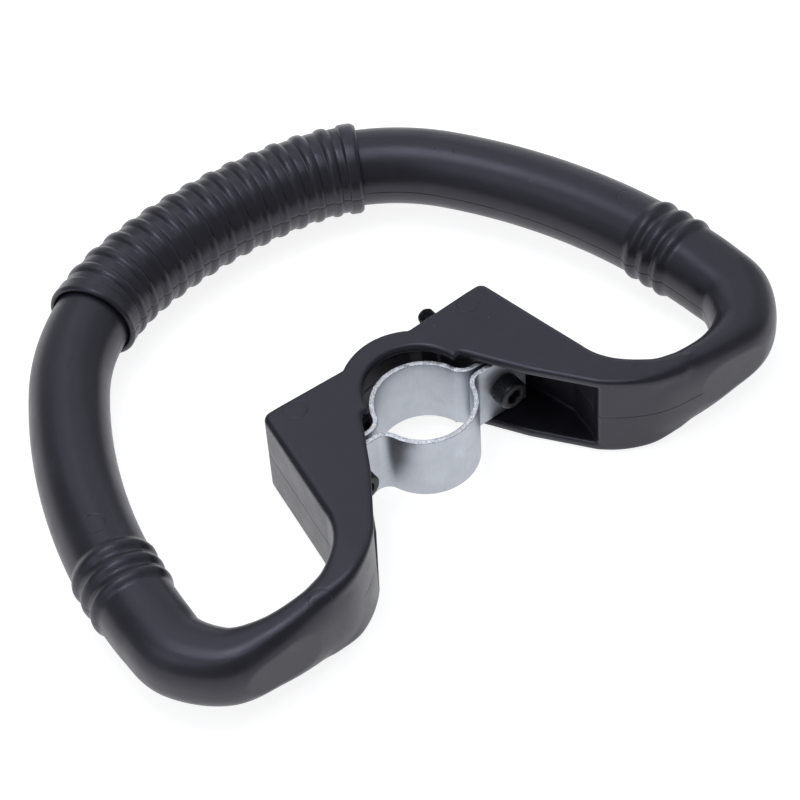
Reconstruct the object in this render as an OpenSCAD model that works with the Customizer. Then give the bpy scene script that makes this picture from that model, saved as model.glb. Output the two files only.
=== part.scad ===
// Clamp-on loop handle for a round tube.
// Z is up and is the axis of the clamp bore. X runs from the left wing to the right wing.
// +Y points from the clamp to the ribbed hand grip. The origin is on the bore axis, at the parting plane.

/* [Loop tube] */
// Outside diameter of the round loop tube
tube_d = 21.4; // [20.6:0.1:22]
// Diameter of the hollow core of the loop tube
core_d = 12.5; // [9:0.5:14]
// Distance from the bore axis to the middle of the grip, on the tube centreline
grip_y = 97.8; // [94:0.2:102]
// Centreline radius of the slightly bowed middle of the loop
top_r = 137; // [125:1:150]
// Centreline radius of the upper corners of the loop
shoulder_r = 60; // [56:0.5:64]
// Centreline radius of the long sides of the loop
side_r = 155; // [145:1:165]
// Half angle covered by the middle arc
top_angle = 11.3; // [10:0.1:13]
// Angle at which the upper corner hands over to the long side
shoulder_angle = 55.3; // [53:0.1:57]

/* [Decorative rings on the loop] */
// Distance between neighbouring rings
ring_pitch = 5; // [4:0.25:6]
// How far a ring stands out of the tube
ring_rise = 0.9; // [0.4:0.1:1.2]
// Angle along the long side at which the middle ring sits
ring_angle = 9.9; // [8.5:0.1:12]

/* [Arms] */
// Thickness of an arm between the corner and the wing
arm_t = 10; // [9:0.5:12]
// Outside radius of the lower corner of the loop
heel_r = 20; // [18:0.5:22]

/* [Wings] */
// Full height of the wings
wing_h = 27.2; // [25.6:0.2:29]
// Wall thickness of the top and bottom plates and of the side walls
wall = 2.6; // [2:0.1:3]
// Width of the block that each bolt passes through
boss_w = 12; // [11:0.5:13]

/* [Clamp] */
// Diameter of the tube that the clamp grips
clamp_d = 25.4; // [24:0.1:25.6]
// Radial room between the strips and the gripped tube
clamp_room = 0.05; // [0.02:0.01:0.1]
// Thickness of the pressed strips
strip_t = 1.5; // [1.2:0.1:1.6]
// Width of the pressed strips along the bore
strip_w = 20.4; // [18:0.2:21]
// Gap between the flanges of the two strips
flange_gap = 1; // [0.6:0.1:2]
// Distance from the bore axis to the end of a flange
flange_x = 32; // [30.5:0.5:33]

/* [Fasteners] */
// Distance from the bore axis to each bolt axis
bolt_x = 24.4; // [24:0.1:25]
// Nominal bolt diameter
bolt_d = 5; // [4.6:0.1:5.2]
// Length of the right bolt under the head
right_bolt_l = 35; // [34:1:37]
// Length of the left bolt under the head
left_bolt_l = 30; // [27:1:33]
// Width across flats of the hexagon nuts
nut_af = 8; // [7.8:0.1:8.4]
// Thickness of the hexagon nuts
nut_t = 4; // [3.6:0.1:4.4]

/* [Grip sleeve] */
// Outside diameter of the sleeve between two ribs
sleeve_d = 24; // [23.6:0.1:24.6]
// Outside diameter of the sleeve on a rib
rib_d = 25.8; // [25.2:0.1:26.4]
// Number of ribs
rib_n = 15; // [11:2:15]
// Distance between neighbouring ribs along the centreline
rib_pitch = 6.4; // [6:0.1:6.6]

/* [Hidden] */
$fn = 96;
e = 0.02;
tr = tube_d/2;
// centres of the three arcs of the loop centreline
ca = [0, grip_y - top_r];
cb = ca + (top_r - shoulder_r)*[sin(top_angle), cos(top_angle)];
cc = cb + (shoulder_r - side_r)*[sin(shoulder_angle), cos(shoulder_angle)];
side_x = cc[0] + side_r;
heel_y = cc[1];
// lower corner: outer and inner wall centres
ho = [side_x + tr - heel_r, heel_y];
hi = [side_x - tr - (heel_r - arm_t), heel_y];
arm_yo = heel_y - heel_r;
arm_yi = arm_yo + arm_t;
arm_ym = (arm_yo + arm_yi)/2;
arm_path_r = heel_y - arm_ym;
arm_cx = side_x - 1.1 - arm_path_r;
// wing outline
hh = wing_h/2;
hc = hh - wall;
cusp = [13.7, 6.4];
toe = [36.3, -26.4];
wing_corner = [36.1, 21];
wing_root = [42.4, -13.2];
neck_i = [58.2, arm_yi + 16];
neck_o = [62.3, arm_yo + 35.6];
saddle_y = 3.65;
saddle_r = 19.65;
// clamp
sr = clamp_d/2 + clamp_room;
sm = sr + strip_t/2;
fy = flange_gap/2 + strip_t/2;
bend_r = 4.5;
bend_y = fy + bend_r;
bend_x = sqrt(pow(sm + bend_r, 2) - bend_y*bend_y);
bend_a = atan2(bend_y, bend_x);
under_head = -flange_gap/2 - strip_t;
head_d = 8.5;
head_h = 5;
thread_r = bolt_d/2 - 0.05;
hole_d = bolt_d + 0.7;
nut_y = 16.1;

module arc(c, r, a0, a1) {
    translate([c[0], c[1], 0]) rotate([0, 0, a0]) rotate_extrude(angle = a1 - a0) translate([r, 0]) children();
}

// thin disc across an arc at angle a, joining two neighbouring arcs
module joint_disc(c, r, a, d) {
    translate([c[0], c[1], 0]) rotate([0, 0, a]) translate([r, 0.3, 0]) rotate([90, 0, 0]) cylinder(d = d - 0.04, h = 0.6);
}

// middle arc of the loop centreline, swept with a round section
module top_sweep(d) {
    g = 0.05*180/PI/top_r;
    arc(ca, top_r, 90 - top_angle + g, 90 + top_angle - g) circle(d = d);
}

// one side of the loop centreline, swept with a round section
module side_sweep(d, a_end = 0) {
    g = 0.05*180/PI/shoulder_r;
    gs = 0.05*180/PI/side_r;
    joint_disc(ca, top_r, 90 - top_angle, d);
    arc(cb, shoulder_r, 90 - shoulder_angle + g, 90 - top_angle - g) circle(d = d);
    joint_disc(cb, shoulder_r, 90 - shoulder_angle, d);
    arc(cc, side_r, a_end, 90 - shoulder_angle - gs) circle(d = d);
}

module both() {
    children();
    mirror([1, 0, 0]) children();
}

// a ring around the tube at angle a of arc c, r
module ring(c, r, a, ring_major, ring_minor) {
    translate([c[0], c[1], 0]) rotate([0, 0, a]) translate([r, 0, 0]) rotate([90, 0, 0])
        rotate_extrude() translate([ring_major, 0]) circle(r = ring_minor, $fn = 48);
}

// lower corner: full round at the tube, thinning to the arm
module heel() {
    intersection() {
        union() {
            arc(hi, heel_r - arm_t + tr, -90, 0) circle(r = tr);
            translate([hi[0] - 4, hi[1] - (heel_r - arm_t + tr), 0]) rotate([0, 90, 0]) cylinder(r = tr, h = 4);
        }
        union() {
            arc(ho, 0, -90, 0) intersection() {
                union() {
                    translate([heel_r - tr, 0]) circle(r = tr);
                    translate([0, -tr]) square([heel_r - tr, 2*tr]);
                }
                translate([0, -tr]) square([heel_r, 2*tr]);
            }
            translate([hi[0] - 4, ho[1] - (heel_r - tr), 0]) rotate([0, 90, 0]) cylinder(r = tr, h = ho[0] - hi[0] + 4);
            translate([hi[0] - 4, ho[1] - (heel_r - tr), -tr]) cube([ho[0] - hi[0] + 4, heel_r - tr, 2*tr]);
        }
    }
    // rounded spine that carries the full height round the corner
    arc([arm_cx, heel_y], arm_path_r, -90, -1) arm_section(tr - 0.03);
}

// rounded section of the arm, half height b
module arm_section(b) {
    w = arm_t/2 - 0.04;
    translate([0, -b + w]) circle(r = w);
    translate([0, b - w]) circle(r = w);
    translate([-w, -b + w]) square([2*w, 2*(b - w)]);
}

// straight arm: the two halves slope from the wing height to the tube height
module arm() {
    run = arm_cx - 57.4;
    rise = hh - 1.6 - tr;
    slope = atan2(rise, run);
    for (s = [0, 1]) mirror([0, 0, s]) intersection() {
        translate([arm_cx + e, arm_ym, 0]) rotate([0, slope, 0]) rotate([0, -90, 0]) linear_extrude(height = run/cos(slope))
            rotate([0, 0, 90]) arm_section(tr - 0.03);
        translate([40, arm_ym - arm_t, 0]) cube([60, 2*arm_t, 30]);
    }
}

module neck_plan() {
    difference() {
        intersection() {
            translate(neck_o) circle(r = 35.6);
            polygon([toe, [34, -12], wing_root, [neck_i[0], neck_i[1] + 1], [neck_i[0], -40], [36.3, -40]]);
        }
        translate(neck_i) circle(r = 16);
    }
}

module neck() {
    difference() {
        translate([0, 0, -hh]) linear_extrude(height = wing_h) neck_plan();
        // the neck slopes down towards the arm
        for (s = [0, 1]) mirror([0, 0, s])
            translate([45, -60, hh]) rotate([0, 7, 0]) cube([40, 60, 20]);
        // rounded long edges
        for (s = [0, 1]) mirror([0, 0, s]) translate([neck_o[0], neck_o[1], 0])
            rotate([0, 0, 215]) rotate_extrude(angle = 60) difference() {
                translate([32.6, hh - 3]) square([6, 6]);
                translate([32.6, hh - 3]) circle(r = 3);
            }
    }
}

module wing_plan() {
    polygon([[0, 19], [10.9, 20], wing_corner, wing_root, [40, -22], toe, cusp, [0, cusp[1]]]);
}

module plates() {
    difference() {
        translate([0, 0, -hh]) linear_extrude(height = wing_h) difference() {
            union() {
                wing_plan();
                mirror([1, 0]) wing_plan();
                intersection() {
                    translate([0, saddle_y]) circle(r = saddle_r);
                    translate([-12, 12]) square([24, 20]);
                }
            }
            translate([0, 3.1]) circle(r = 13.9);
            translate([-13.2, -10]) square([26.4, 17]);
            both() translate([wing_corner[0] - 2.82, wing_corner[1] - 2.6]) difference() {
                rotate(0) translate([0, 0]) square([4, 4]);
                circle(r = 2.5, $fn = 64);
            }
        }
    }
}

// open space between the plates
module cavity_plan() {
    difference() {
        union() {
            polygon([[0, 12], [12, 17.2], [wing_corner[0] - wall - 0.6, wing_corner[1] - wall - 0.2], [wing_root[0] - wall - 0.3, wing_root[1]], [toe[0] + 1.4, toe[1] + 3.4], [toe[0] + 0.02, toe[1] - 0.02], [toe[0] - 8, toe[1] - 2], [10, -2], [0, 0]]);
            translate([0, saddle_y]) circle(r = saddle_r - wall - 0.2);
        }
        // block behind the rear flange
        translate([bolt_x - boss_w/2, fy + strip_t/2]) square([boss_w, 20]);
    }
}

module handle_body() color([0.07, 0.07, 0.08]) {
    difference() {
        union() {
            top_sweep(tube_d);
            both() {
                side_sweep(tube_d);
                heel();
                arm();
                neck();
                for (i = [-1:1])
                    ring(cc, side_r, ring_angle + i*ring_pitch*180/PI/side_r, tr - 1.3 + ring_rise, 1.3);
            }
            plates();
        }
        translate([0, 0, -hc]) linear_extrude(height = 2*hc) {
            cavity_plan();
            mirror([1, 0]) cavity_plan();
        }
        // hollow core, open to the wings through a small channel in each arm
        top_sweep(core_d);
        both() {
            side_sweep(core_d, 1.5);
            arc([side_x - 15.6, heel_y], 15.6, -90, 0) circle(r = 1.5);
            translate([55, heel_y - 15.6, 0]) rotate([0, 90, 0]) cylinder(r = 1.6, h = side_x - 15.6 - 55 + 0.4);
            translate([56.6, heel_y - 15.6, 0]) rotate([0, 0, -29]) rotate([0, -90, 0]) cylinder(r = 1.4, h = 21);
            translate([side_x, heel_y - 0.4, 0]) rotate([-90, 0, 0]) cylinder(r = 1.6, h = 9);
            // bolt hole and nut pocket
            translate([bolt_x, -5, 0]) rotate([-90, 0, 0]) cylinder(d = hole_d, h = 40);
            translate([bolt_x, nut_y, 0]) rotate([-90, 0, 0]) cylinder(d = (nut_af + 0.1)/cos(30), h = 12, $fn = 6);
        }
    }
}

module grip_sleeve() color([0.09, 0.09, 0.1]) {
    total = (rib_n - 1)*rib_pitch;
    arc_top = top_r*top_angle*PI/180;
    end_a = top_angle + (total/2 + 2.4 - arc_top)/shoulder_r*180/PI;
    difference() {
        union() {
            arc(ca, top_r, 90 - top_angle, 90 + top_angle) circle(d = sleeve_d);
            both() arc(cb, shoulder_r, 90 - end_a, 90 - top_angle) circle(d = sleeve_d);
            for (i = [0:(rib_n - 1)/2]) {
                s = i*rib_pitch;
                if (s <= arc_top) {
                    ring(ca, top_r, 90 - s/top_r*180/PI, rib_d/2 - 1.8, 1.8);
                    if (i > 0) ring(ca, top_r, 90 + s/top_r*180/PI, rib_d/2 - 1.8, 1.8);
                } else both()
                    ring(cb, shoulder_r, 90 - top_angle - (s - arc_top)/shoulder_r*180/PI, rib_d/2 - 1.8, 1.8);
            }
        }
        arc(ca, top_r, 90 - top_angle, 90 + top_angle) circle(r = tr + 0.04);
        both() arc(cb, shoulder_r, 90 - end_a - 3, 90 - top_angle) circle(r = tr + 0.04);
    }
}

// profile of one pressed strip, arc on the +Y side
module strip_plan() {
    intersection() {
        difference() {
            circle(r = sr + strip_t);
            circle(r = sr);
        }
        polygon([[0, 0.3], [30*cos(bend_a), 30*sin(bend_a) + 0.1], [30, 40], [-30, 40], [-30*cos(bend_a), 30*sin(bend_a) + 0.1]]);
    }
    both() {
        intersection() {
            translate([bend_x, bend_y]) difference() {
                circle(r = bend_r + strip_t/2);
                circle(r = bend_r - strip_t/2);
            }
            polygon([[bend_x, bend_y - 0.1], [bend_x - 20*cos(bend_a), bend_y - 20*sin(bend_a) - 0.1], [bend_x, bend_y - 20]]);
        }
        // short bridge where the arc turns into the reverse bend
        rotate(bend_a) translate([sm - strip_t/2 + 0.01, -0.4]) square([strip_t - 0.02, 0.9]);
        translate([bend_x, fy - strip_t/2]) square([flange_x - bend_x, strip_t]);
    }
}

module strip() {
    difference() {
        translate([0, 0, -strip_w/2]) linear_extrude(height = strip_w) strip_plan();
        both() translate([bolt_x, -5, 0]) rotate([-90, 0, 0]) cylinder(d = hole_d - 0.2, h = 15);
    }
}

module rear_clamp_strip() color([0.78, 0.8, 0.84]) strip();

module front_clamp_strip() color([0.78, 0.8, 0.84]) mirror([0, 1, 0]) strip();

// socket-head cap screw pointing along +Y
module bolt(l) {
    translate([0, under_head, 0]) rotate([-90, 0, 0]) difference() {
        union() {
            translate([0, 0, -head_h + 0.4]) cylinder(d = head_d, h = head_h - 0.4);
            translate([0, 0, -head_h]) cylinder(d1 = head_d - 0.8, d2 = head_d, h = 0.4);
            translate([0, 0, -e]) cylinder(r = thread_r, h = l - 0.6 + e);
            translate([0, 0, l - 0.6]) cylinder(r1 = thread_r, r2 = thread_r - 0.6, h = 0.6);
        }
        translate([0, 0, -head_h - 1]) cylinder(d = 4/cos(30), h = 1 + 2.6, $fn = 6);
    }
}

module nut() {
    rotate([-90, 0, 0]) difference() {
        intersection() {
            cylinder(d = nut_af/cos(30), h = nut_t, $fn = 6);
            translate([0, 0, -2.2]) cylinder(r1 = nut_af/2 - 1.2, r2 = nut_af/2 + 5, h = 6.2 + 0.001);
        }
        translate([0, 0, -1]) cylinder(r = bolt_d/2, h = nut_t + 2);
    }
}

module right_bolt() color([0.13, 0.13, 0.14]) translate([bolt_x, 0, 0]) bolt(right_bolt_l);

module left_bolt() color([0.13, 0.13, 0.14]) translate([-bolt_x, 0, 0]) bolt(left_bolt_l);

module right_nut() color([0.6, 0.6, 0.63]) translate([bolt_x, nut_y, 0]) nut();

module left_nut() color([0.6, 0.6, 0.63]) translate([-bolt_x, nut_y, 0]) nut();

handle_body();
grip_sleeve();
rear_clamp_strip();
front_clamp_strip();
right_bolt();
left_bolt();
right_nut();
left_nut();
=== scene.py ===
import bpy
import math
import numpy as np
from mathutils import Matrix, Vector


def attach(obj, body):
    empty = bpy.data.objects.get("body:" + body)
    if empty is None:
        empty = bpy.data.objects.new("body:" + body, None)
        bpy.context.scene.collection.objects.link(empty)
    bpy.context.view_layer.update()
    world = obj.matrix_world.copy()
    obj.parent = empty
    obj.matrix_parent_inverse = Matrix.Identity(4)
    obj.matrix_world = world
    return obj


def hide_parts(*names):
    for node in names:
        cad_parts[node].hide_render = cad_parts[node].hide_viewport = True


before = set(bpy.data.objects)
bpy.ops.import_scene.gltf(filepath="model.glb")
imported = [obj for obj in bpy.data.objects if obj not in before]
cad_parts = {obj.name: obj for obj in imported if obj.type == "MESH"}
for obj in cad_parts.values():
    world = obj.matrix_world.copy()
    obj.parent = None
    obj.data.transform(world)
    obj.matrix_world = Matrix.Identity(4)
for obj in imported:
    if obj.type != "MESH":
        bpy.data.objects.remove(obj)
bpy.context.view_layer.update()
MM = 0.001

# ----------------------------------------------------------------------------
# sizes in millimetres, the same as in the CAD model
# ----------------------------------------------------------------------------
TUBE_R = 10.7
GRIP_Y, TOP_R, SH_R, SIDE_R = 97.8, 137.0, 60.0, 155.0
TOP_A, SH_A = math.radians(11.3), math.radians(55.3)
CA = np.array([0.0, GRIP_Y - TOP_R])
CB = CA + (TOP_R - SH_R) * np.array([math.sin(TOP_A), math.cos(TOP_A)])
CC = CB + (SH_R - SIDE_R) * np.array([math.sin(SH_A), math.cos(SH_A)])
HH, WALL = 13.6, 2.6
HC = HH - WALL
BOLT_X, NUT_Y = 24.4, 16.1
SR, ST, SW = 12.75, 1.5, 20.4


def smooth01(t):
    t = np.clip(t, 0.0, 1.0)
    return t * t * (3 - 2 * t)


def smin(a, b, k):
    h = np.maximum(k - np.abs(a - b), 0.0) / k
    return np.minimum(a, b) - h * h * k * 0.25


def smax(a, b, k):
    return -smin(-a, -b, k)


# ----------------------------------------------------------------------------
# centreline of the loop, right half, from the middle of the grip to the neck
# ----------------------------------------------------------------------------
def arc_points(c, r, a0, a1, step=0.8):
    n = max(2, int(abs(a1 - a0) * r / step) + 1)
    a = np.linspace(a0, a1, n)
    return np.c_[c[0] + r * np.sin(a), c[1] + r * np.cos(a)]


def catmull(points, step=0.8):
    p = np.array(points, float)
    out = []
    for i in range(1, len(p) - 2):
        p0, p1, p2, p3 = p[i - 1], p[i], p[i + 1], p[i + 2]
        t0 = 0.0
        t1 = t0 + np.linalg.norm(p1 - p0) ** 0.5
        t2 = t1 + np.linalg.norm(p2 - p1) ** 0.5
        t3 = t2 + np.linalg.norm(p3 - p2) ** 0.5
        n = max(2, int(np.linalg.norm(p2 - p1) / step) + 1)
        t = np.linspace(t1, t2, n, endpoint=False)[:, None]
        a1 = (t1 - t) / (t1 - t0) * p0 + (t - t0) / (t1 - t0) * p1
        a2 = (t2 - t) / (t2 - t1) * p1 + (t - t1) / (t2 - t1) * p2
        a3 = (t3 - t) / (t3 - t2) * p2 + (t - t2) / (t3 - t2) * p3
        b1 = (t2 - t) / (t2 - t0) * a1 + (t - t0) / (t2 - t0) * a2
        b2 = (t3 - t) / (t3 - t1) * a2 + (t - t1) / (t3 - t1) * a3
        out.append((t2 - t) / (t2 - t1) * b1 + (t - t1) / (t2 - t1) * b2)
    return np.vstack(out)


A_END = math.acos((2.0 - CC[1]) / SIDE_R)
upper = np.vstack([
    arc_points(CA, TOP_R, 0, TOP_A)[:-1],
    arc_points(CB, SH_R, TOP_A, SH_A)[:-1],
    arc_points(CC, SIDE_R, SH_A, A_END),
])
lower = catmull([tuple(upper[-12]), tuple(upper[-1]), (91.75, -9.0), (91.5, -18.3), (84.0, -28.9), (73.4, -32.2),
                 (62.0, -32.65), (52.1, -31.1), (46.7, -28.3), (42.0, -24.5)])
LINE = np.vstack([upper[:-1], lower])
seg = np.linalg.norm(np.diff(LINE, axis=0), axis=1)
LINE_S = np.concatenate([[0], np.cumsum(seg)])


def s_at(x, y):
    return LINE_S[np.argmin((LINE[:, 0] - x) ** 2 + (LINE[:, 1] - y) ** 2)]


SEC_S = [s_at(89.6, 12), s_at(91.6, -4), s_at(91.6, -18.1), s_at(84, -28.9), s_at(73.4, -32.2), s_at(62, -32.6), s_at(52.1, -31.1), s_at(46.7, -28.3)]
SEC_A = [10.7, 10.38, 9.86, 8.72, 6.14, 4.97, 4.95, 4.3]
SEC_B = [10.7, 9.95, 9.55, 9.40, 10.32, 11.7, 12.2, 12.5]
SEC_N = [2.0, 2.4, 2.55, 2.5, 2.54, 2.83, 3.03, 3.2]
tab_s = np.linspace(0, LINE_S[-1], 600)


def smooth_table(v):
    t = np.interp(tab_s, SEC_S, v)
    w = np.exp(-0.5 * (np.arange(-40, 41) * (tab_s[1] - tab_s[0]) / 2.6) ** 2)
    w /= w.sum()
    return np.convolve(np.pad(t, 40, mode="edge"), w, mode="valid")


TAB_A, TAB_B, TAB_N = smooth_table(SEC_A), smooth_table(SEC_B), smooth_table(SEC_N)
RING_S = s_at(89.95, 7.9)
RING_P = 5.1


def ring_bump(s):
    d = (s - RING_S) / RING_P
    wave = 0.5 + 0.5 * np.cos(2 * math.pi * d)
    return 0.9 * np.where(np.abs(d) < 1.5, wave ** 0.8, 0.0)


def along_line(px, py):
    """Distance along the centreline and signed distance from it, for points in the plane."""
    n = len(px)
    s_out, u_out = np.empty(n), np.empty(n)
    a = LINE[:-1]
    d = np.diff(LINE, axis=0)
    ll = (d ** 2).sum(1)
    for i in range(0, n, 8000):
        x, y = px[i:i + 8000, None], py[i:i + 8000, None]
        t = np.clip(((x - a[:, 0]) * d[:, 0] + (y - a[:, 1]) * d[:, 1]) / ll, 0, 1)
        dx, dy = x - a[:, 0] - t * d[:, 0], y - a[:, 1] - t * d[:, 1]
        q = dx * dx + dy * dy
        k = q.argmin(1)
        r = np.arange(len(k))
        s_out[i:i + 8000] = LINE_S[k] + t[r, k] * seg[k]
        side = np.sign(d[k, 1] * dx[r, k] - d[k, 0] * dy[r, k])
        u_out[i:i + 8000] = side * np.sqrt(q[r, k])
    return s_out, u_out


# ----------------------------------------------------------------------------
# outlines in plan
# ----------------------------------------------------------------------------
def arc_xy(c, r, a0, a1, n):
    a = np.radians(np.linspace(a0, a1, n))
    return [(c[0] + r * math.cos(t), c[1] + r * math.sin(t)) for t in a]


def fillet(p0, p1, p2, r, n=8):
    """Points of the arc of radius r that rounds the corner p1."""
    p0, p1, p2 = (np.array(p, float) for p in (p0, p1, p2))
    u, v = (p0 - p1) / np.linalg.norm(p0 - p1), (p2 - p1) / np.linalg.norm(p2 - p1)
    half = math.acos(float(np.clip(u @ v, -1, 1))) / 2
    c = p1 + (u + v) / np.linalg.norm(u + v) * (r / math.sin(half))
    t0, t1 = p1 + u * r / math.tan(half), p1 + v * r / math.tan(half)
    a0, a1 = math.atan2(*(t0 - c)[::-1]), math.atan2(*(t1 - c)[::-1])
    if a1 - a0 > math.pi:
        a1 -= 2 * math.pi
    if a0 - a1 > math.pi:
        a1 += 2 * math.pi
    return [(c[0] + r * math.cos(t), c[1] + r * math.sin(t)) for t in np.linspace(a0, a1, n)]


def polygon_distance(poly, px, py):
    p = np.array(poly, float)
    q = np.roll(p, -1, axis=0)
    d = q - p
    ll = (d ** 2).sum(1)
    out = np.empty(len(px))
    for i in range(0, len(px), 8000):
        x, y = px[i:i + 8000, None], py[i:i + 8000, None]
        t = np.clip(((x - p[:, 0]) * d[:, 0] + (y - p[:, 1]) * d[:, 1]) / ll, 0, 1)
        dist = np.hypot(x - p[:, 0] - t * d[:, 0], y - p[:, 1] - t * d[:, 1]).min(1)
        cross = ((p[:, 1] > y) != (q[:, 1] > y)) & (x < (d[:, 0] * (y - p[:, 1]) / np.where(d[:, 1] == 0, 1e-12, d[:, 1]) + p[:, 0]))
        out[i:i + 8000] = np.where(cross.sum(1) % 2 == 1, -dist, dist)
    return out


CORNER, ROOT, TOE, CUSP = (36.1, 21.0), (42.4, -13.2), (36.3, -26.4), (13.8, 4.9)
half_outline = (
    arc_xy((0, 3.65), 19.65, 90, 60, 16)
    + fillet((8.4, 20.9), (10.9, 20.0), (20, 20.35), 2.0, 6)
    + fillet((10.9, 20.0), CORNER, ROOT, 2.5, 10)
    + arc_xy((58.2, -11.7), 16.0, -174.6, -90, 26)
    + [(61.4, -28.1)]
    + arc_xy((61.9, -33.0), 4.1, 60, -70, 12)
    + arc_xy((62.3, -2.1), 35.55, -92, -136.9, 20)
    + [TOE]
    + [(25.6, -11.2), (19.2, -0.2), (16.9, 3.9)]
    + fillet((16.9, 3.9), (16.0, 5.0), (14.6, 5.0), 0.5, 4)
    + fillet((14.6, 5.0), CUSP, (13.75, 6.0), 0.3, 4)
    + arc_xy((0, 3.1), 13.9, 10, 90, 24)
)
WING = [p for p in half_outline] + [(-x, y) for x, y in half_outline[::-1][1:-1]]
half_cavity = (
    [(0, 22.5)]
    + arc_xy((0, 3.65), 16.85, 88, 58, 10)
    + [(12.6, 17.25)]
    + fillet((12.6, 17.3), (32.9, 18.2), (39.5, -13.2), 1.2, 6)
    + [(39.5, -13.2), (37.9, -23.0), (36.5, -26.2), (35.2, -27.6), (20.0, -14.0), (6.0, 4.0), (0, 2.0)]
)
CAVITY = half_cavity[1:-1]
CAVITY = [(0, 20.5)] + CAVITY + [(0, 0.0)] + [(-x, y) for x, y in CAVITY[::-1]]


def plan_maps(px, py):
    """Everything that depends only on x and y."""
    s, u = along_line(px, py)
    wing = polygon_distance(WING, px, py)
    cav = polygon_distance(CAVITY, px, py)
    # block behind the flange
    bx = np.abs(px - BOLT_X) - 6.0
    by = np.abs(py - 12.0) - 10.0
    boss = np.minimum(np.maximum(bx, by), 0) + np.hypot(np.maximum(bx, 0), np.maximum(by, 0))
    cav = smax(cav, -boss, 0.8)
    # edge radius: small along the front and the saddle, larger along the neck
    front = np.clip((py + 26.4) * (36.3 - 13.7) + (px - 36.3) * 32.8, -1e9, 1e9) / math.hypot(22.6, 32.8)
    inner = smooth01((px - 30) / 12) * smooth01(front / 5.0)
    r = 1.0 + 0.25 * smooth01(front / 5.0) + 0.75 * inner
    r = r + 1.3 * smooth01((px - 46) / 13)
    top = HH - 1.75 * smooth01((px - 43) / 21)
    # the block's outer wall runs into the arm's wall without a step
    inset = 0.75 * smooth01((px - 47) / 10) * smooth01((-24 - py) / 6) + 3.0 * smooth01((px - 56) / 11)
    return {"s": s, "u": u, "wing": wing, "cav": cav, "r": r, "top": top, "inset": inset}


# marks of the moulding pins: x, y, radius
PINS = [(28.3, 16.7, 3.0), (-28.3, 16.7, 3.0), (61.6, -33.6, 3.0), (-59.2, -34.8, 3.0)]


def body_field(m, x, y, z):
    """Signed distance-like field of the handle; x and z are absolute values."""
    a, b, n = np.interp(m["s"], tab_s, TAB_A), np.interp(m["s"], tab_s, TAB_B), np.interp(m["s"], tab_s, TAB_N)
    bump = ring_bump(m["s"])
    a, b = a + bump, b + bump
    u = np.abs(m["u"])
    r = np.sqrt(u * u + z * z) + 1e-6
    g = ((u / a) ** n + (z / b) ** n) ** (1 / n) + 1e-9
    tube = r * (1 - 1 / g)
    tube = np.maximum(tube, m["s"] - LINE_S[-1] + 0.5)
    e = m["r"]
    q1, q2 = m["wing"] + m["inset"] + e, z - (m["top"] - e)
    block = np.minimum(np.maximum(q1, q2), 0) + np.hypot(np.maximum(q1, 0), np.maximum(q2, 0)) - e
    f = smin(tube, block, 0.9)
    cav = smax(m["cav"], z - HC, 1.0)
    f = smax(f, -cav, 0.9)
    # bolt holes and nut pockets
    hole = np.hypot(x - BOLT_X, z) - 2.85
    f = np.maximum(f, -np.maximum(hole, 1.0 - y))
    hx, hz = np.abs(x - BOLT_X), z
    hexa = np.maximum(hz * 0.5 + hx * 0.8660254, hz) - 4.05
    f = np.maximum(f, -np.maximum(hexa, NUT_Y - y) * np.where(np.abs(x - BOLT_X) < 8, 1, 1))
    return f


def grid_lines(spans, extra=()):
    out = [spans[0][0]]
    for a, b, h in spans:
        n = max(1, int(round((b - a) / h)))
        out.extend(list(np.linspace(a, b, n + 1))[1:])
    g = sorted(set(np.round(out, 4)))
    return np.array(g)


def surface_nets(F, X, Y, Z):
    inside = F < 0
    c = np.zeros(tuple(n - 1 for n in F.shape), np.uint8)
    for i in (0, 1):
        for j in (0, 1):
            for k in (0, 1):
                c += inside[i:F.shape[0] - 1 + i, j:F.shape[1] - 1 + j, k:F.shape[2] - 1 + k]
    act = (c > 0) & (c < 8)
    index = np.full(act.shape, -1, np.int64)
    cells = np.argwhere(act)
    index[act] = np.arange(len(cells))
    pos, cnt = np.zeros((len(cells), 3)), np.zeros(len(cells))
    corners = [(i, j, k) for i in (0, 1) for j in (0, 1) for k in (0, 1)]
    for a in corners:
        for axis in range(3):
            if a[axis]:
                continue
            b = list(a)
            b[axis] = 1
            ia, ib = cells + np.array(a), cells + np.array(b)
            fa, fb = F[tuple(ia.T)].astype(float), F[tuple(ib.T)].astype(float)
            hit = (fa < 0) != (fb < 0)
            t = np.where(hit, fa / np.where(hit, fa - fb, 1), 0)
            pa = np.c_[X[ia[:, 0]], Y[ia[:, 1]], Z[ia[:, 2]]]
            pb = np.c_[X[ib[:, 0]], Y[ib[:, 1]], Z[ib[:, 2]]]
            p = pa + (pb - pa) * t[:, None]
            pos[hit] += p[hit]
            cnt[hit] += 1
    verts = pos / cnt[:, None]
    quads = []
    for axis in range(3):
        sl0 = [slice(None)] * 3
        sl1 = [slice(None)] * 3
        sl0[axis], sl1[axis] = slice(0, -1), slice(1, None)
        a, b = inside[tuple(sl0)], inside[tuple(sl1)]
        e = np.argwhere(a != b)
        ok = np.ones(len(e), bool)
        o1, o2 = [k for k in range(3) if k != axis]
        for o in (o1, o2):
            ok &= (e[:, o] > 0) & (e[:, o] < F.shape[o] - 1)
        e = e[ok]
        flip = a[tuple(e.T)]
        ids = []
        for d1, d2 in ((-1, -1), (0, -1), (0, 0), (-1, 0)):
            q = e.copy()
            q[:, o1] += d1
            q[:, o2] += d2
            ids.append(index[tuple(q.T)])
        ids = np.array(ids).T
        if axis == 1:
            flip = ~flip
        ids[~flip] = ids[~flip][:, ::-1]
        quads.append(ids)
    return verts, np.vstack(quads)


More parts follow.
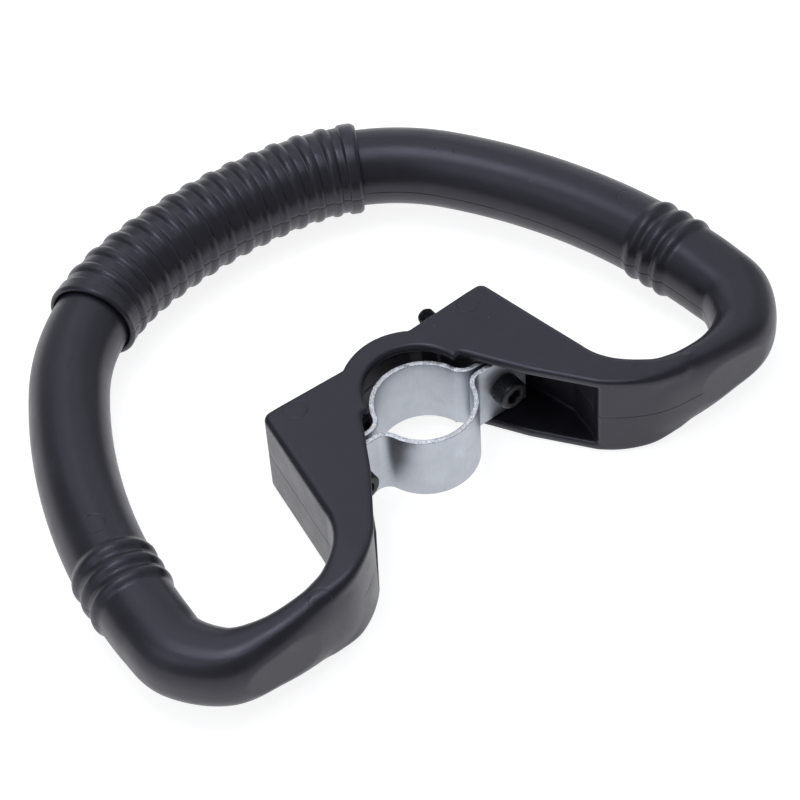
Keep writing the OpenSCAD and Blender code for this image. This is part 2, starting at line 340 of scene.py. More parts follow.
def mesh_object(name, verts, faces, scale=MM):
    verts = np.asarray(verts, float) * scale
    faces = np.asarray(faces, np.int64)
    me = bpy.data.meshes.new(name)
    me.vertices.add(len(verts))
    me.vertices.foreach_set("co", verts.astype(np.float32).ravel())
    me.loops.add(faces.size)
    me.loops.foreach_set("vertex_index", faces.astype(np.int32).ravel())
    me.polygons.add(len(faces))
    k = faces.shape[1]
    me.polygons.foreach_set("loop_start", np.arange(0, faces.size, k, dtype=np.int32))
    me.polygons.foreach_set("loop_total", np.full(len(faces), k, np.int32))
    me.update(calc_edges=True)
    me.validate()
    me.polygons.foreach_set("use_smooth", np.ones(len(me.polygons), bool))
    ob = bpy.data.objects.new(name, me)
    bpy.context.scene.collection.objects.link(ob)
    return ob


def make_body():
    fine = 0.66
    gx = grid_lines([(0, 12, fine), (12, 16.5, 0.42), (16.5, 24.8, fine), (24.8, 31.8, 0.42), (31.8, 56.8, fine), (56.8, 64.4, 0.42), (64.4, 104.4, 1.0)])
    gy = grid_lines([(-39, -37.6, 0.5), (-37.6, -30.4, 0.42), (-30.4, 2, fine), (2, 7, 0.42), (7, 13, fine), (13, 20.4, 0.42), (20.4, 25, fine), (25, 111, 1.2)])
    gz = np.array([0, 0.06, 0.14, 0.25, 0.45] + list(np.linspace(0.9, 14.4, 23)))
    XX, YY = np.meshgrid(gx, gy, indexing="ij")
    m = plan_maps(XX.ravel(), YY.ravel())
    m3 = {k: v.reshape(XX.shape)[:, :, None] for k, v in m.items()}
    F = body_field(m3, gx[:, None, None], gy[None, :, None], gz[None, None, :])
    F = F.astype(np.float32)
    F[F == 0] = 1e-5
    full = np.concatenate([F[::-1], F[1:]], axis=0)
    full = np.concatenate([full[:, :, ::-1], full[:, :, 1:]], axis=2)
    X = np.concatenate([-gx[::-1], gx[1:]])
    Z = np.concatenate([-gz[::-1], gz[1:]])
    verts, quads = surface_nets(full, X, gy, Z)
    # pull each vertex onto the exact surface, by mirrored quarter points
    def value(p):
        x, y, z = np.abs(p[:, 0]), p[:, 1], np.abs(p[:, 2])
        return body_field(plan_maps(x, y), x, y, z)
    near = np.abs(verts[:, 2]) > 0.3
    p = verts[near]
    for _ in range(1):
        h = 0.04
        f0 = value(p)
        g = np.zeros_like(p)
        for ax in range(3):
            d = np.zeros(3)
            d[ax] = h
            g[:, ax] = (value(p + d) - value(p - d)) / (2 * h)
        gg = (g ** 2).sum(1)
        step = f0[:, None] * g / np.maximum(gg, 0.3)[:, None]
        length = np.linalg.norm(step, axis=1)
        step *= np.minimum(1, 0.15 / np.maximum(length, 1e-9))[:, None]
        p = p - step
    verts[near] = p
    return verts, quads


# ----------------------------------------------------------------------------
# node helpers
# ----------------------------------------------------------------------------
class Nodes:
    def __init__(self, name):
        self.mat = bpy.data.materials.new(name)
        self.mat.use_nodes = True
        self.t = self.mat.node_tree
        self.t.nodes.clear()
        self.out = self.t.nodes.new("ShaderNodeOutputMaterial")
        self.bsdf = self.t.nodes.new("ShaderNodeBsdfPrincipled")
        self.t.links.new(self.bsdf.outputs[0], self.out.inputs[0])
        self.co = self.t.nodes.new("ShaderNodeTexCoord").outputs["Object"]

    def link(self, a, b):
        self.t.links.new(a, b)

    def val(self, node, key, v):
        if hasattr(v, "is_output") or isinstance(v, bpy.types.NodeSocket):
            self.link(v, node.inputs[key])
        else:
            node.inputs[key].default_value = v

    def math(self, op, a, b=0.0, c=None, clamp=False):
        n = self.t.nodes.new("ShaderNodeMath")
        n.operation = op
        n.use_clamp = clamp
        self.val(n, 0, a)
        self.val(n, 1, b)
        if c is not None:
            self.val(n, 2, c)
        return n.outputs[0]

    def vmath(self, op, a, b=(0, 0, 0)):
        n = self.t.nodes.new("ShaderNodeVectorMath")
        n.operation = op
        self.val(n, 0, a)
        if op == "SCALE":
            n.inputs["Scale"].default_value = b
        elif op not in ("LENGTH", "ABSOLUTE", "NORMALIZE"):
            self.val(n, 1, b)
        return n.outputs["Value"] if op in ("LENGTH", "DISTANCE", "DOT_PRODUCT") else n.outputs[0]

    def noise(self, co, scale, detail=3.0, rough=0.5, distortion=0.0):
        n = self.t.nodes.new("ShaderNodeTexNoise")
        self.link(co, n.inputs["Vector"])
        n.inputs["Scale"].default_value = scale
        n.inputs["Detail"].default_value = detail
        n.inputs["Roughness"].default_value = rough
        n.inputs["Distortion"].default_value = distortion
        return n.outputs["Fac"]

    def ramp(self, fac, stops):
        n = self.t.nodes.new("ShaderNodeValToRGB")
        while len(n.color_ramp.elements) > 1:
            n.color_ramp.elements.remove(n.color_ramp.elements[-1])
        n.color_ramp.elements[0].position = stops[0][0]
        n.color_ramp.elements[0].color = (*stops[0][1], 1) if hasattr(stops[0][1], "__len__") else (stops[0][1],) * 3 + (1,)
        for p, c in stops[1:]:
            el = n.color_ramp.elements.new(p)
            el.color = (*c, 1) if hasattr(c, "__len__") else (c, c, c, 1)
        self.link(fac, n.inputs[0])
        return n.outputs[0]

    def remap(self, v, a, b, c, d, smooth=False):
        n = self.t.nodes.new("ShaderNodeMapRange")
        if smooth:
            n.interpolation_type = "SMOOTHSTEP"
        self.val(n, 0, v)
        for i, x in enumerate((a, b, c, d)):
            n.inputs[i + 1].default_value = x
        return n.outputs[0]

    def mix(self, fac, a, b, blend="MIX"):
        n = self.t.nodes.new("ShaderNodeMix")
        n.data_type = "RGBA"
        n.blend_type = blend
        self.val(n, 0, fac)
        self.val(n, 6, a if not isinstance(a, tuple) else (*a, 1))
        self.val(n, 7, b if not isinstance(b, tuple) else (*b, 1))
        return n.outputs[2]

    def bump(self, height, distance, strength=1.0, normal=None):
        n = self.t.nodes.new("ShaderNodeBump")
        n.inputs["Strength"].default_value = strength
        n.inputs["Distance"].default_value = distance
        self.link(height, n.inputs["Height"])
        if normal is not None:
            self.link(normal, n.inputs["Normal"])
        return n.outputs[0]

    def scaled(self, sx, sy, sz):
        n = self.t.nodes.new("ShaderNodeMapping")
        n.inputs["Scale"].default_value = (sx, sy, sz)
        self.link(self.co, n.inputs["Vector"])
        return n.outputs[0]

    def set(self, key, v):
        self.val(self.bsdf, key, v)


def plastic(name, base, rough, marks=(), grain=0.5):
    """Black moulded plastic: fine grain, faint flow clouds, rubbed patches, a little dust, and painted shade in the
    grooves of the pin-mark rings.
    """
    m = Nodes(name)
    mm = m.scaled(1000, 1000, 1000)
    cloud = m.noise(mm, 0.045, 3, 0.55)
    patch = m.noise(mm, 0.16, 4, 0.6, 0.3)
    fine = m.noise(mm, 4.2, 2, 0.6)
    speck = m.t.nodes.new("ShaderNodeTexVoronoi")
    speck.inputs["Scale"].default_value = 0.23
    m.link(mm, speck.inputs["Vector"])
    dot = m.remap(speck.outputs["Distance"], 0.035, 0.055, 1.0, 0.0)
    keep = m.math("GREATER_THAN", m.t.nodes.new("ShaderNodeSeparateColor").outputs[0], 0.5)
    sep = keep.node.inputs[0].links[0].from_node
    m.link(speck.outputs["Color"], sep.inputs[0])
    keep.node.inputs[1].default_value = 0.72
    dot = m.math("MULTIPLY", dot, keep)
    dark = tuple(c * 0.82 for c in base)
    light = tuple(c * 1.22 for c in base)
    col = m.mix(m.remap(cloud, 0.3, 0.7, 0, 1), dark, light)
    col = m.mix(m.math("MULTIPLY", m.remap(patch, 0.5, 0.75, 0, 1), 0.35), col, tuple(c * 1.5 for c in base))
    col = m.mix(m.math("MULTIPLY", dot, 0.35), col, (0.16, 0.16, 0.17))
    r = m.math("ADD", m.remap(patch, 0.3, 0.7, rough - 0.035, rough + 0.045), m.remap(fine, 0.3, 0.7, -0.02, 0.02))
    m.set("Roughness", r)
    m.set("IOR", 1.5)
    m.set("Specular IOR Level", 0.56)
    m.bsdf.inputs["Specular Tint"].default_value = (0.86, 0.84, 1.0, 1)
    h = m.math("ADD", m.math("MULTIPLY", fine, grain), m.math("MULTIPLY", m.noise(mm, 1.1, 3, 0.5), 0.5))
    normal = m.bump(h, 0.00006, 0.5)
    if marks:
        xyz = m.t.nodes.new("ShaderNodeSeparateXYZ")
        m.link(mm, xyz.inputs[0])
        total = None
        for x0, y0, r0 in marks:
            dx, dy = m.math("SUBTRACT", xyz.outputs[0], x0), m.math("SUBTRACT", xyz.outputs[1], y0)
            d = m.math("SQRT", m.math("ADD", m.math("MULTIPLY", dx, dx), m.math("MULTIPLY", dy, dy)))
            edge = m.math("ABSOLUTE", m.math("SUBTRACT", d, r0))
            ring = m.remap(edge, 0.05, 0.22, 1.0, 0.0, True)
            total = ring if total is None else m.math("MAXIMUM", total, ring)
        up = m.math("GREATER_THAN", m.math("ABSOLUTE", xyz.outputs[2]), 10.2)
        total = m.math("MULTIPLY", total, up)
        wobble = m.remap(m.noise(mm, 0.5, 2), 0.42, 0.62, 0.25, 1.0)
        total = m.math("MULTIPLY", total, wobble)
        normal = m.bump(m.math("SUBTRACT", 1.0, total), 0.00012, 0.8, normal)
        # painted shade: the base colour is darkened along the bumped grooves of the pin-mark rings
        col = m.mix(m.math("MULTIPLY", total, 0.35), col, tuple(c * 0.45 for c in base))
    m.set("Base Color", col)
    m.set("Normal", normal)
    return m.mat


def zinc(name):
    m = Nodes(name)
    mm = m.scaled(1000, 1000, 1000)
    long = m.scaled(160, 160, 2600)
    roll = m.noise(m.scaled(2600, 2600, 120), 1.0, 3, 0.6)
    cloud = m.noise(mm, 0.12, 4, 0.6, 0.4)
    fine = m.noise(mm, 3.0, 3, 0.6)
    col = m.mix(m.remap(cloud, 0.3, 0.72, 0, 1), (0.43, 0.455, 0.50), (0.55, 0.58, 0.63))
    col = m.mix(m.math("MULTIPLY", m.remap(roll, 0.45, 0.8, 0, 1), 0.2), col, (0.36, 0.385, 0.43))
    m.set("Base Color", col)
    m.set("Metallic", 1.0)
    m.set("Roughness", m.math("ADD", m.remap(cloud, 0.25, 0.75, 0.39, 0.48), m.remap(fine, 0.3, 0.7, -0.02, 0.02)))
    h = m.math("ADD", m.math("MULTIPLY", fine, 0.5), m.math("MULTIPLY", roll, 0.6))
    m.set("Normal", m.bump(h, 0.00005, 0.35))
    return m.mat


def sheared(name):
    """The sheared edge of the zinc strip: brighter and rougher."""
    m = Nodes(name)
    mm = m.scaled(1000, 1000, 1000)
    chip = m.noise(mm, 2.4, 4, 0.65, 0.2)
    fine = m.noise(mm, 9.0, 2, 0.6)
    col = m.mix(m.remap(chip, 0.38, 0.66, 0, 1), (0.42, 0.44, 0.47), (0.93, 0.945, 0.96))
    m.set("Base Color", col)
    m.set("Metallic", 1.0)
    m.set("Roughness", m.remap(chip, 0.3, 0.7, 0.28, 0.5))
    m.set("Normal", m.bump(m.math("ADD", chip, m.math("MULTIPLY", fine, 0.4)), 0.00016, 0.7))
    return m.mat


def oxide(name, base=(0.016, 0.016, 0.018), rough=0.36, metal=0.6):
    m = Nodes(name)
    mm = m.scaled(1000, 1000, 1000)
    n = m.noise(mm, 1.3, 4, 0.6)
    fine = m.noise(mm, 7.0, 2, 0.5)
    m.set("Base Color", m.mix(m.remap(n, 0.35, 0.7, 0, 1), base, tuple(c * 2.2 for c in base)))
    m.set("Metallic", metal)
    m.set("Roughness", m.math("ADD", m.remap(n, 0.3, 0.7, rough - 0.06, rough + 0.08), m.remap(fine, 0.3, 0.7, -0.02, 0.02)))
    m.set("Normal", m.bump(fine, 0.00003, 0.4))
    return m.mat


MARKS = PINS + [(87.9, 21.5, 3.0), (-87.9, 21.5, 3.0), (60.8, 68.4, 3.0), (-60.8, 68.4, 3.0)]
MAT_BODY = plastic("moulded_plastic", (0.0128, 0.0126, 0.0160), 0.345, MARKS)
MAT_SLEEVE = plastic("sleeve_plastic", (0.0155, 0.0152, 0.0188), 0.315, (), 0.8)
MAT_ZINC = zinc("zinc_strip")
MAT_EDGE = sheared("zinc_edge")
MAT_SCREW = oxide("black_screw")
MAT_NUT = oxide("zinc_nut", (0.42, 0.43, 0.45), 0.35, 1.0)


def finish_piece(ob, body, node, slot, *mats):
    ob.data.materials.clear()
    for mt in mats:
        ob.data.materials.append(mt)
    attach(ob, body)
    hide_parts(node)
    return ob


# ---------------------------------------------------------------- handle body
verts, quads = make_body()
body = mesh_object("loop_handle", verts, quads)


def cut_seam(ob):
    """The parting line: a narrow groove at z = 0, deeper on some walls than on others."""
    me = ob.data
    n = len(me.vertices)
    co, no = np.empty(3 * n), np.empty(3 * n)
    me.vertices.foreach_get("co", co)
    me.vertex_normals.foreach_get("vector", no)
    co, no = co.reshape(-1, 3) / MM, no.reshape(-1, 3)
    x, y, z = co.T
    depth = 0.10 + 0.05 * smooth01((x - 38) / 6)
    # well closed round the left heel and arm
    depth = depth * (1 - smooth01((-x - 45.2) / 0.6) * smooth01((4 - y) / 14))
    # and where the right heel turns
    depth = depth * (1 - 0.6 * smooth01((x - 79) / 6) * smooth01((4 - y) / 14))
    wave = 0.85 + 0.15 * np.sin(x * 0.7 + y * 0.45) * np.sin(x * 0.23 - y * 0.31 + 1.0)
    cut = depth * wave * np.clip(1 - np.abs(z) / 0.2, 0, 1)
    # the groove ends in a small pit on the left wing
    pit = np.hypot(x + 44.2, z) - 0.35
    cut = np.maximum(cut, 0.22 * np.clip(-pit / 0.35, 0, 1) * (np.abs(y + 14.6) < 2))
    # shallow rings where the moulding pins pushed
    for px, py, pr in PINS:
        ring = np.clip(1 - np.abs(np.hypot(x - px, y - py) - pr) / 0.36, 0, 1)
        cut = cut + 0.07 * ring * (z > 9) * smooth01((no[:, 2] - 0.9) / 0.09)
    co -= no * cut[:, None]
    co[:, 2] = np.clip(co[:, 2], -13.596, 13.596)
    co[:, 1] = np.maximum(co[:, 1], -37.77)
    me.vertices.foreach_set("co", (co * MM).ravel())
    me.update()


cut_seam(body)
finish_piece(body, "handle", "handle_body", "body_plastic", MAT_BODY)


# --------------------------------------------------------------- grip sleeve
def line_frame(s):
    """Point of the whole centreline at signed arc length s from the middle."""
    x = np.interp(np.abs(s), LINE_S, LINE[:, 0]) * np.sign(s)
    y = np.interp(np.abs(s), LINE_S, LINE[:, 1])
    return x, y


def sleeve_mesh():
    pitch, n_rib = 6.4, 15
    end = (n_rib - 1) / 2 * pitch + 2.4

    def radius(s):
        d = np.abs(((s / pitch + 0.5) % 1.0) - 0.5) * 2  # 0 on a rib, 1 between two ribs
        crest = np.maximum(1 - (d / 0.54) ** 2.6, 0)
        flat = 0.07 * smooth01((d - 0.54) / 0.30)
        return 12.0 + 0.72 * crest + flat

    s = np.linspace(-end, end, int(2 * end / 0.22))
    rings = []
    # outside, then the right end face, the inside and the left end face
    for v in s:
        edge = min(end - v, end + v)
        r = radius(v)
        # a smooth, thicker band closes each end
        band = smooth01((abs(v) - (end - 5.0)) / 0.9)
        if v < 0:   # the left band flares a little towards its rolled lip
            r = r * (1 - band) + (12.50 + 0.16 * smooth01(1 - (v + end - 0.6) / 2.6)) * band
            r -= 0.6 * (1 - min(edge / 1.0, 1)) ** 2
        else:       # the right one is a fat rounded rib
            r = r * (1 - band) + (12.80 - 0.10 * ((edge - 2.4) / 2.4) ** 2) * band
            r -= 0.75 * (1 - min(edge / 1.5, 1)) ** 2
        rings.append((v, min(r, 12.88)))
    rings.append((end, 11.6))
    rings.append((end, 10.9))
    rings.append((end - 2.0, 10.74))
    for v in np.linspace(end - 6, -end + 6, 24):
        rings.append((v, 10.74))
    rings.append((-end + 2.8, 10.74))
    rings.append((-end + 1.0, 10.85))
    rings.append((-end + 0.12, 11.25))
    rings.append((-end, 11.6))
    th = np.linspace(0, 2 * math.pi, 96, endpoint=False)
    th = np.sort(np.concatenate([th, [math.radians(v) for v in (179.2, 180.8, 0.8, 359.2)]]))
    k = len(th)
    sv = np.array([q[0] for q in rings])
    rv = np.array([q[1] for q in rings])
    x, y = line_frame(sv)
    x1, y1 = line_frame(sv + 0.4)
    x0, y0 = line_frame(sv - 0.4)
    tx, ty = x1 - x0, y1 - y0
    L = np.hypot(tx, ty)
    nx, ny = -ty / L, tx / L
    # the parting line crosses the ribs as a small groove on both sides
    outer = (np.arange(len(rv)) < len(s))[:, None]
    groove = np.where(np.abs(np.sin(th)) < 0.004, 0.13, 0.0)[None, :] * outer
    R = rv[:, None] - groove
    V = np.stack([x[:, None] + nx[:, None] * R * np.cos(th), y[:, None] + ny[:, None] * R * np.cos(th), R * np.sin(th)], axis=-1)
    n = len(rings)
    idx = np.arange(n * k).reshape(n, k)
    a = idx
    b = np.roll(idx, -1, axis=1)
    c = np.roll(np.roll(idx, -1, axis=0), -1, axis=1)
    d = np.roll(idx, -1, axis=0)
    faces = np.stack([a, d, c, b], axis=-1).reshape(-1, 4)
    return V.reshape(-1, 3), faces


sv, sf = sleeve_mesh()
sleeve = mesh_object("ribbed_sleeve", sv, sf)
finish_piece(sleeve, "handle", "grip_sleeve", "sleeve_rubber", MAT_SLEEVE)


# --------------------------------------------------------------- clamp strips
def strip_path():
    """Middle line of the rear strip, from its left end to its right end."""
    sm, rb = SR + ST / 2, 4.5
    fy = 0.5 + ST / 2
    by = fy + rb
    bx = math.sqrt((sm + rb) ** 2 - by * by)
    ba = math.atan2(by, bx)
    right = []
    for t in np.linspace(math.pi / 2, ba, 40):
        right.append((sm * math.cos(t), sm * math.sin(t)))
    for t in np.linspace(math.pi + ba, 1.5 * math.pi, 16)[1:]:
        right.append((bx + rb * math.cos(t), by + rb * math.sin(t)))
    for x in np.linspace(bx, 32.0, 10)[1:]:
        right.append((x, fy))
    right = np.array(right)
    left = right[::-1][:-1] * np.array([-1, 1])
    return np.vstack([left, right])


def strip_mesh(mirror_y):
    p = strip_path()
    t = np.gradient(p, axis=0)
    t /= np.linalg.norm(t, axis=1)[:, None]
    nrm = np.c_[-t[:, 1], t[:, 0]]
    h, w = ST / 2, SW / 2
    r1 = 0.28
    sec = []
    # section in (thickness, width), going round with rounded corners
    for cx, cz, a0 in ((h - r1, w - r1, 0), (-h + r1, w - r1, 90), (-h + r1, -w + r1, 180), (h - r1, -w + r1, 270)):
        for a in np.radians(np.linspace(a0, a0 + 90, 5)):
            sec.append((cx + r1 * math.cos(a), cz + r1 * math.sin(a)))
    # extra rows on the long faces
    body_sec = []
    for i, q in enumerate(sec):
        body_sec.append(q)
        nxt = sec[(i + 1) % len(sec)]
        if abs(nxt[1] - q[1]) > 5:
            for f in np.linspace(0, 1, 8)[1:-1]:
                body_sec.append((q[0], q[1] + (nxt[1] - q[1]) * f))
    sec = np.array(body_sec)
    rng = np.random.default_rng(7)
    n, k = len(p), len(sec)
    V = np.zeros((n, k, 3))
    V[:, :, 0] = p[:, 0:1] + nrm[:, 0:1] * sec[None, :, 0]
    V[:, :, 1] = p[:, 1:2] + nrm[:, 1:2] * sec[None, :, 0]
    V[:, :, 2] = sec[None, :, 1]
    edge = np.abs(sec[:, 1]) > w - 0.31
    jitter = rng.normal(0, 1, (n, k))
    ker = np.array([0.25, 0.5, 0.25])
    for c in range(k):
        jitter[:, c] = np.convolve(jitter[:, c], ker, mode="same")
    V[:, :, 2] -= np.where(edge, 0.05 * np.abs(jitter), 0) * np.sign(sec[:, 1])
    V = V.reshape(-1, 3)
    idx = np.arange(n * k).reshape(n, k)
    a, b = idx[:-1], np.roll(idx, -1, axis=1)[:-1]
    c, d = np.roll(idx, -1, axis=1)[1:], idx[1:]
    faces = np.stack([a, b, c, d], axis=-1).reshape(-1, 4)
    mids = ((sec + np.roll(sec, -1, axis=0)) / 2)
    is_edge = np.tile(np.abs(mids[:, 1]) > w - r1 * 0.8, n - 1)
    # end caps
    caps = []
    for row, flip in ((idx[0], True), (idx[-1], False)):
        caps.append((list(row), flip))
    if mirror_y:
        V[:, 1] *= -1
    return V, faces, is_edge, caps


def strip_object(name, mirror_y):
    V, faces, is_edge, caps = strip_mesh(mirror_y)
    all_faces = [tuple(f) for f in faces]
    for row, flip in caps:
        all_faces.append(tuple(row if not flip else row[::-1]))
    me = bpy.data.meshes.new(name)
    if mirror_y:
        all_faces = [f[::-1] for f in all_faces]
    me.from_pydata([tuple(v * MM) for v in V], [], all_faces)
    me.update()
    ob = bpy.data.objects.new(name, me)
    bpy.context.scene.collection.objects.link(ob)
    ob.data.materials.append(MAT_ZINC)
    ob.data.materials.append(MAT_EDGE)
    idx = np.zeros(len(me.polygons), np.int32)
    idx[:len(is_edge)][is_edge] = 1
    idx[len(is_edge):] = 1
    me.polygons.foreach_set("material_index", idx)
    me.polygons.foreach_set("use_smooth", np.ones(len(me.polygons), bool))
    # bolt holes
    cutters = []
    for sx in (-1, 1):
        n = 40
        th = np.linspace(0, 2 * math.pi, n, endpoint=False)
        ring = [(sx * BOLT_X + 2.75 * math.cos(t), 2.75 * math.sin(t)) for t in th]
        cv = [(x * MM, -6 * MM, z * MM) for x, z in ring] + [(x * MM, 6 * MM, z * MM) for x, z in ring]
        cf = [tuple(range(n))[::-1], tuple(range(n, 2 * n))] + [(i, (i + 1) % n, n + (i + 1) % n, n + i) for i in range(n)]
        cm = bpy.data.meshes.new("cutter")
        cm.from_pydata(cv, [], cf)
        co = bpy.data.objects.new("cutter", cm)
        bpy.context.scene.collection.objects.link(co)
        mod = ob.modifiers.new("hole", "BOOLEAN")
        mod.operation = "DIFFERENCE"
        mod.solver = "EXACT"
        mod.object = co
        cutters.append(co)
    apply_modifiers(ob)
    for co in cutters:
        bpy.data.objects.remove(co)
    return ob


def apply_modifiers(ob):
    dg = bpy.context.evaluated_depsgraph_get()
    dg.update()
    new = bpy.data.meshes.new_from_object(ob.evaluated_get(dg))
    ob.modifiers.clear()
    old = ob.data
    ob.data = new
    bpy.data.meshes.remove(old)


def auto_smooth(ob, degrees):
    """Edges sharper than the angle stay sharp."""
    me = ob.data
    me.polygons.foreach_set("use_smooth", np.ones(len(me.polygons), bool))
    me.set_sharp_from_angle(angle=math.radians(degrees))


for node, body_name, my, pname in (("rear_clamp_strip", "handle", False, "rear_strap"), ("front_clamp_strip", "front_clamp", True, "front_strap")):
    ob = strip_object(pname, my)
    auto_smooth(ob, 32)
    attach(ob, body_name)
    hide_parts(node)


# --------------------------------------------------------------------- bolts
def bolt_object(name, x0, length):
    """Socket-head screw along +Y: under-head face at y = -2."""
    head_r, head_h, r_out, pitch = 4.25, 5.0, 2.45, 0.8
    k = 72
    th = np.linspace(0, 2 * math.pi, k, endpoint=False)
    knurl = 0.5 + 0.5 * np.cos(th * 36)
    rows = []   # (y, radius array)
    y0 = -2.0
    sock = 4.0 / 2
    hexr = sock / np.cos(((th + math.pi / 6) % (math.pi / 3)) - math.pi / 6)
    rows.append((y0 - head_h + 2.6, np.full(k, 0.02)))
    rows.append((y0 - head_h + 2.45, hexr * 0.75))
    rows.append((y0 - head_h + 2.2, hexr))
    rows.append((y0 - head_h + 0.35, hexr))
    rows.append((y0 - head_h + 0.05, hexr * 0.5 + 0.5 * np.maximum(hexr + 0.25, 2.42)))
    rows.append((y0 - head_h, np.full(k, 2.62)))
    rows.append((y0 - head_h, np.full(k, 3.55)))
    rows.append((y0 - head_h + 0.08, np.full(k, 3.8)))
    rows.append((y0 - head_h + 0.35, np.full(k, 4.06)))
    for yy in np.linspace(y0 - head_h + 0.6, y0 - 0.5, 6):
        rows.append((yy, 4.10 + 0.14 * knurl))
    rows.append((y0 - 0.25, np.full(k, 4.12)))
    rows.append((y0 - 0.02, np.full(k, 4.02)))
    rows.append((y0, np.full(k, 3.9)))
    rows.append((y0, np.full(k, 2.5)))
    shank = 6.0
    rows.append((y0 + 0.15, np.full(k, 2.44)))
    rows.append((y0 + shank, np.full(k, 2.44)))
    depth = 0.42
    n = int((length - shank - 0.2) / 0.1)
    for yy in np.linspace(shank, length - 0.05, n):
        ph = (yy / pitch - th / (2 * math.pi)) % 1.0
        tri = np.clip(np.abs(ph - 0.5) * 2.5 - 0.12, 0, 1)   # 1 on a crest, 0 in a root
        fade = min(1.0, (yy - shank) / 1.0)
        tip = max(0.0, (yy - (length - 0.9)) / 0.9)
        rows.append((y0 + yy, r_out - depth * (1 - tri) * fade - 0.55 * tip * tri - 0.1 * tip))
    rows.append((y0 + length, np.full(k, 1.55)))
    rows.append((y0 + length, np.full(k, 0.02)))
    n = len(rows)
    V = np.zeros((n, k, 3))
    for i, (yy, rr) in enumerate(rows):
        V[i, :, 0] = x0 + rr * np.cos(th)
        V[i, :, 1] = yy
        V[i, :, 2] = rr * np.sin(th)
    idx = np.arange(n * k).reshape(n, k)
    a, b = idx[:-1], np.roll(idx, -1, axis=1)[:-1]
    c, d = np.roll(idx, -1, axis=1)[1:], idx[1:]
    faces = [tuple(f) for f in np.stack([a, d, c, b], axis=-1).reshape(-1, 4)]
    faces.append(tuple(idx[0]))
    faces.append(tuple(idx[-1][::-1]))
    me = bpy.data.meshes.new(name)
    me.from_pydata([tuple(v * MM) for v in V.reshape(-1, 3)], [], faces)
    me.update()
    ob = bpy.data.objects.new(name, me)
    bpy.context.scene.collection.objects.link(ob)
    auto_smooth(ob, 38)
    return ob


for pname, node, x0, length in (("right_screw", "right_bolt", BOLT_X, 33.8), ("left_screw", "left_bolt", -BOLT_X, 30.0)):
    ob = bolt_object(pname, x0, length)
    finish_piece(ob, node, node, "black_screw", MAT_SCREW)

for n in ("right_nut", "left_nut"):
    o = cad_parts[n]
    o.data.materials.clear()
    o.data.materials.append(MAT_NUT)

# ---------------------------------------------------------------------- stage
floor_mesh = bpy.data.meshes.new("floor")
F = 6.0
z0 = -HH * MM - 0.0002
floor_mesh.from_pydata([(-F, -F, z0), (F, -F, z0), (F, F, z0), (-F, F, z0)], [], [(0, 1, 2, 3)])
floor = bpy.data.objects.new("floor", floor_mesh)
bpy.context.scene.collection.objects.link(floor)
fm = bpy.data.materials.new("floor_white")
fm.use_nodes = True
ft = fm.node_tree
ft.nodes.clear()
fo = ft.nodes.new("ShaderNodeOutputMaterial")
fadd = ft.nodes.new("ShaderNodeAddShader")
fd = ft.nodes.new("ShaderNodeBsdfDiffuse")
fd.inputs["Color"].default_value = (0.42, 0.42, 0.42, 1)
fe = ft.nodes.new("ShaderNodeEmission")
fe.inputs["Color"].default_value = (1, 1, 1, 1)
fe.inputs["Strength"].default_value = 0.85
ft.links.new(fd.outputs[0], fadd.inputs[0])
ft.links.new(fe.outputs[0], fadd.inputs[1])
ft.links.new(fadd.outputs[0], fo.inputs[0])
floor_mesh.materials.append(fm)

world = bpy.data.worlds.new("studio")
bpy.context.scene.world = world
world.use_nodes = True
bg = world.node_tree.nodes["Background"]
bg.inputs[0].default_value = (0.92, 0.94, 1.0, 1)
bg.inputs[1].default_value = 0.27


def area(name, loc, target, sx, sy, power, color=(1, 1, 1)):
    d = bpy.data.lights.new(name, "AREA")
    d.shape = "RECTANGLE"
    d.size, d.size_y = sx, sy
    d.energy = power
    d.color = color
    o = bpy.data.objects.new(name, d)
    bpy.context.scene.collection.objects.link(o)
    o.location = loc
    o.rotation_mode = "QUATERNION"
    o.rotation_quaternion = (Vector(target) - Vector(loc)).to_track_quat("-Z", "Y")
    return o


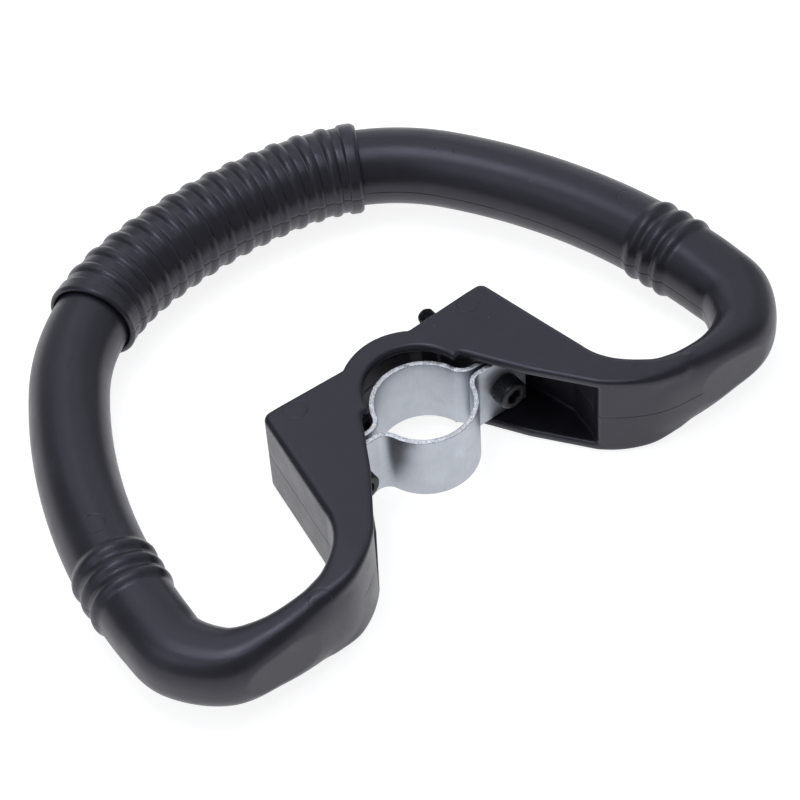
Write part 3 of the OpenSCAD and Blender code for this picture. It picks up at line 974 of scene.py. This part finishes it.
def ring_light(name, azimuth, elevation, sx, sy, power, color=(0.90, 0.925, 1.0)):
    a, e = math.radians(azimuth), math.radians(elevation)
    t = Vector((0, 0.03, 0))
    p = t + Vector((math.sin(a) * math.cos(e), -math.cos(a) * math.cos(e), math.sin(e)))
    return area(name, p, t, sx, sy, power, color)


# weak large softboxes all round, as in a product tent
ring_light("softbox_top", 0, 85, 0.6, 0.45, 1.35)
ring_light("strip_top", 205, 79, 0.42, 0.16, 1.7)
ring_light("softbox_left", 270, 50, 0.6, 0.45, 1.05)
ring_light("softbox_left_low", 270, 20, 0.6, 0.45, 0.3)
ring_light("softbox_back", 180, 50, 0.6, 0.45, 0.75)
ring_light("softbox_back_low", 180, 20, 0.6, 0.45, 0.25)
ring_light("softbox_right_back", 135, 50, 0.6, 0.45, 0.55)
ring_light("softbox_right_back_low", 135, 20, 0.6, 0.45, 0.7)
ring_light("softbox_right", 90, 50, 0.6, 0.45, 0.4)
ring_light("softbox_right_low", 90, 20, 0.6, 0.45, 0.3)

# --------------------------------------------------------------------- camera
az, el, roll = math.radians(-34.763), math.radians(48.749), math.radians(-4.281)
back = Vector((math.sin(az) * math.cos(el), -math.cos(az) * math.cos(el), math.sin(el)))
right = Vector((math.cos(az), math.sin(az), 0))
up = back.cross(right)
r2 = math.cos(roll) * right + math.sin(roll) * up
u2 = -math.sin(roll) * right + math.cos(roll) * up
cam_data = bpy.data.cameras.new("camera")
cam_data.lens = 2814.9 / 800 * 36
cam_data.sensor_width = 36
cam_data.clip_start, cam_data.clip_end = 0.05, 30
cam = bpy.data.objects.new("camera", cam_data)
bpy.context.scene.collection.objects.link(cam)
loc = Vector((-0.27638, -0.38758, 0.55421))
cam.matrix_world = Matrix((
    (r2.x, u2.x, back.x, loc.x),
    (r2.y, u2.y, back.y, loc.y),
    (r2.z, u2.z, back.z, loc.z),
    (0, 0, 0, 1)))
bpy.context.scene.camera = cam
bpy.context.scene.view_settings.view_transform = "Standard"

bpy.context.view_layer.update()
